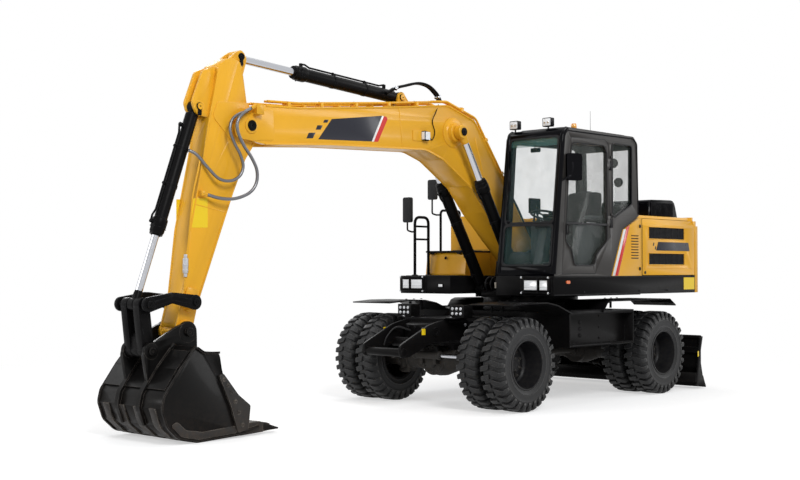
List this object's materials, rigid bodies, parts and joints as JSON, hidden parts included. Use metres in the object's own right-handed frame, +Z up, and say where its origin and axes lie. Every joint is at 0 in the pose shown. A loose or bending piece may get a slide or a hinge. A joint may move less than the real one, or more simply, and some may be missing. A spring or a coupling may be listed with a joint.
{
  "type": "wheeled excavator",
  "caption": "Wheeled excavator on twin tyres: slewing upper body with side cab, two-piece backhoe arm with toothed bucket, and a rear dozer blade.",
  "frame": {"origin": "middle of the footprint's bounding box, on the ground", "axes": "+X forward over the front axle and along the boom, +Y to the cab's side (left), +Z up"},
  "size_m": [8.166, 2.5, 3.6795],
  "materials": {
    "yellow_paint": "glossy construction yellow paint",
    "black_paint": "satin black paint",
    "cab_paint": "satin dark grey-brown paint",
    "tyre_rubber": "matt block tread rubber",
    "chrome": "polished hard chrome",
    "worn_steel": "black paint worn to brown steel at the edges",
    "cast_iron": "rough cast",
    "seat_fabric": "woven seat cloth",
    "trim_plastic": "grained dark plastic",
    "braided_hose": "silver braided hose",
    "tinted_glass": "lightly tinted green glass"
  },
  "bodies": {
    "undercarriage": {"chassis_frame": "black_paint", "front_axle": "black_paint", "rear_axle": "black_paint", "drive_line": "cast_iron", "side_step_left": "black_paint", "side_step_right": "black_paint"},
    "knuckle_left": {"knuckle_left": "black_paint"},
    "knuckle_right": {"knuckle_right": "black_paint"},
    "steering_rod": {"steering_rod": "chrome"},
    "dozer_blade": {"dozer_blade": "black_paint"},
    "blade_cylinder_barrel": {"blade_cylinder_barrel_left": "black_paint", "blade_cylinder_barrel_right": "black_paint"},
    "blade_cylinder_rod": {"blade_cylinder_rod_left": "chrome", "blade_cylinder_rod_right": "chrome"},
    "upper_structure": {"upper_frame": "black_paint", "counterweight": "yellow_paint", "left_body_panel": "yellow_paint", "fuel_tank": "yellow_paint", "tool_box": "yellow_paint", "handrail_right": "black_paint", "engine_block": "cast_iron", "cab_shell": "cab_paint", "left_rear_window": "tinted_glass", "right_window": "tinted_glass", "rear_window": "tinted_glass", "windshield_lower": "tinted_glass", "windshield_upper": "tinted_glass", "operator_seat": "seat_fabric", "operator_console": "trim_plastic", "steering_column": "trim_plastic"},
    "left_engine_door": {"left_engine_door": "yellow_paint"},
    "right_engine_door": {"right_engine_door": "yellow_paint"},
    "engine_hood": {"engine_hood": "yellow_paint"},
    "cab_door": {"cab_door": "cab_paint", "door_window": "tinted_glass"},
    "boom": {"boom": "yellow_paint"},
    "stick": {"stick": "yellow_paint", "stick_hose_outer": "braided_hose"},
    "bucket": {"bucket": "worn_steel"},
    "guide_links": {"guide_links": "black_paint"},
    "bucket_link": {"bucket_link": "black_paint"},
    "boom_cylinder_barrel": {"boom_cylinder_barrel_left": "black_paint", "boom_cylinder_barrel_right": "black_paint"},
    "boom_cylinder_rod": {"boom_cylinder_rod_left": "chrome", "boom_cylinder_rod_right": "chrome"},
    "stick_cylinder_barrel": {"stick_cylinder_barrel": "black_paint"},
    "stick_cylinder_rod": {"stick_cylinder_rod": "chrome"},
    "bucket_cylinder_barrel": {"bucket_cylinder_barrel": "black_paint"},
    "bucket_cylinder_rod": {"bucket_cylinder_rod": "chrome"},
    "wheel_front_left": {"tyres_front_left": "tyre_rubber", "rim_front_left": "black_paint"},
    "wheel_front_right": {"tyres_front_right": "tyre_rubber", "rim_front_right": "black_paint"},
    "wheel_rear_left": {"tyres_rear_left": "tyre_rubber", "rim_rear_left": "black_paint"},
    "wheel_rear_right": {"tyres_rear_right": "tyre_rubber", "rim_rear_right": "black_paint"}
  },
  "joints": [
    {"name": "swing", "type": "hinge", "parent": "undercarriage", "child": "upper_structure", "pos_m": [-1.883, 0, 1.15], "axis": [0, 0, 1], "continuous": true},
    {"name": "boom_lift", "type": "hinge", "parent": "upper_structure", "child": "boom", "pos_m": [-1.613, 0, 1.7], "axis": [0, -1, 0], "range_deg": [-46, 40]},
    {"name": "stick_curl", "type": "hinge", "parent": "boom", "child": "stick", "pos_m": [2.814, 0, 2.943], "axis": [0, 1, 0], "range_deg": [-60, 49], "deforming": ["stick_hose_outer"]},
    {"name": "bucket_curl", "type": "hinge", "parent": "stick", "child": "bucket", "pos_m": [3.56, 0, 0.974], "axis": [0, 1, 0], "range_deg": [-75, 80]},
    {"name": "blade_lift", "type": "hinge", "parent": "undercarriage", "child": "dozer_blade", "pos_m": [-3.283, 0, 0.44], "axis": [0, 1, 0], "range_deg": [-8, 28]},
    {"name": "steer_left", "type": "hinge", "parent": "undercarriage", "child": "knuckle_left", "pos_m": [-0.183, 0.56, 0.51557], "axis": [0, 0, 1], "range_deg": [-30, 30]},
    {"name": "cab_door_swing", "type": "hinge", "parent": "upper_structure", "child": "cab_door", "pos_m": [-1.817, 1.24, 1.475], "axis": [0, 0, 1], "range_deg": [0, 165]},
    {"name": "left_engine_door_swing", "type": "hinge", "parent": "upper_structure", "child": "left_engine_door", "pos_m": [-3.731, 1.22, 1.475], "axis": [0, 0, 1], "range_deg": [0, 100]},
    {"name": "right_engine_door_swing", "type": "hinge", "parent": "upper_structure", "child": "right_engine_door", "pos_m": [-3.731, -1.22, 1.475], "axis": [0, 0, -1], "range_deg": [0, 100]},
    {"name": "engine_hood_lift", "type": "hinge", "parent": "upper_structure", "child": "engine_hood", "pos_m": [-3.751, 0, 2.225], "axis": [0, -1, 0], "range_deg": [0, 60]},
    {"name": "wheel_front_left_spin", "type": "hinge", "parent": "knuckle_left", "child": "wheel_front_left", "pos_m": [-0.183, 0.947, 0.51557], "axis": [0, 1, 0], "continuous": true},
    {"name": "wheel_front_right_spin", "type": "hinge", "parent": "knuckle_right", "child": "wheel_front_right", "pos_m": [-0.183, -0.947, 0.51557], "axis": [0, 1, 0], "continuous": true},
    {"name": "wheel_rear_left_spin", "type": "hinge", "parent": "undercarriage", "child": "wheel_rear_left", "pos_m": [-2.983, 0.947, 0.51557], "axis": [0, 1, 0], "continuous": true},
    {"name": "wheel_rear_right_spin", "type": "hinge", "parent": "undercarriage", "child": "wheel_rear_right", "pos_m": [-2.983, -0.947, 0.51557], "axis": [0, 1, 0], "continuous": true},
    {"name": "steer_right", "type": "hinge", "parent": "undercarriage", "child": "knuckle_right", "pos_m": [-0.183, -0.56, 0.51557], "axis": [0, 0, 1], "range_deg": [-30.5, 30.5]},
    {"name": "steering_rod_slide", "type": "slide", "parent": "undercarriage", "child": "steering_rod", "axis": [0, 1, 0], "range_m": [-0.13, 0.13]},
    {"name": "boom_cylinder_barrel_pivot", "type": "hinge", "parent": "upper_structure", "child": "boom_cylinder_barrel", "pos_m": [-1.303, 0, 1.32], "axis": [0, -1, 0], "range_deg": [-44.02, 38.35]},
    {"name": "boom_cylinder_rod_slide", "type": "slide", "parent": "boom_cylinder_barrel", "child": "boom_cylinder_rod", "axis": [0.5283, 0, 0.8491], "range_m": [-0.3569, 0.3106]},
    {"name": "stick_cylinder_barrel_pivot", "type": "hinge", "parent": "boom", "child": "stick_cylinder_barrel", "pos_m": [0.562, 0, 3.461], "axis": [0, -1, 0], "range_deg": [-1.23, 1.4]},
    {"name": "stick_cylinder_rod_slide", "type": "slide", "parent": "stick_cylinder_barrel", "child": "stick_cylinder_rod", "axis": [0.9978, 0, 0.067], "range_m": [-0.6172, 0.5044]},
    {"name": "bucket_cylinder_barrel_pivot", "type": "hinge", "parent": "stick", "child": "bucket_cylinder_barrel", "pos_m": [3.364, 0, 3.086], "axis": [0, -1, 0], "range_deg": [-4.19, 3.96]},
    {"name": "bucket_cylinder_rod_slide", "type": "slide", "parent": "bucket_cylinder_barrel", "child": "bucket_cylinder_rod", "axis": [0.3327, 0, -0.943], "range_m": [-0.4667, 0.4977]},
    {"name": "blade_cylinder_barrel_pivot", "type": "hinge", "parent": "undercarriage", "child": "blade_cylinder_barrel", "pos_m": [-3.443, 0, 0.98], "axis": [0, -1, 0], "range_deg": [-8.69, 2.84]},
    {"name": "blade_cylinder_rod_slide", "type": "slide", "parent": "blade_cylinder_barrel", "child": "blade_cylinder_rod", "axis": [-0.2691, 0, -0.9631], "range_m": [-0.1603, 0.0472]},
    {"name": "guide_link_pivot", "type": "hinge", "parent": "stick", "child": "guide_links", "pos_m": [3.509, 0, 1.248], "axis": [0, -1, 0], "range_deg": [-65.61, 61.54]},
    {"name": "bucket_link_pivot", "type": "hinge", "parent": "bucket", "child": "bucket_link", "pos_m": [3.964, 0, 0.817], "axis": [0, -1, 0], "range_deg": [-47.45, 50.58]}
  ],
  "couplings": [
    {"joint": "steer_right", "follows": "steer_left", "ratio": 1},
    {"joint": "steering_rod_slide", "follows": "steer_left", "m_per_rad": 0.232},
    {"joint": "boom_cylinder_barrel_pivot", "follows": "boom_lift", "ratio": 0.94614},
    {"joint": "boom_cylinder_rod_slide", "follows": "boom_lift", "m_per_rad": 0.4421},
    {"joint": "stick_cylinder_barrel_pivot", "follows": "stick_curl", "ratio": -0.014979},
    {"joint": "stick_cylinder_rod_slide", "follows": "stick_curl", "m_per_rad": 0.58745},
    {"joint": "bucket_cylinder_barrel_pivot", "follows": "bucket_curl", "ratio": -0.046082},
    {"joint": "bucket_cylinder_rod_slide", "follows": "bucket_curl", "m_per_rad": 0.35503},
    {"joint": "blade_cylinder_barrel_pivot", "follows": "blade_lift", "ratio": -0.29262},
    {"joint": "blade_cylinder_rod_slide", "follows": "blade_lift", "m_per_rad": -0.32391},
    {"joint": "guide_link_pivot", "follows": "bucket_curl", "ratio": -0.81385},
    {"joint": "bucket_link_pivot", "follows": "bucket_curl", "ratio": 0.62595}
  ]
}
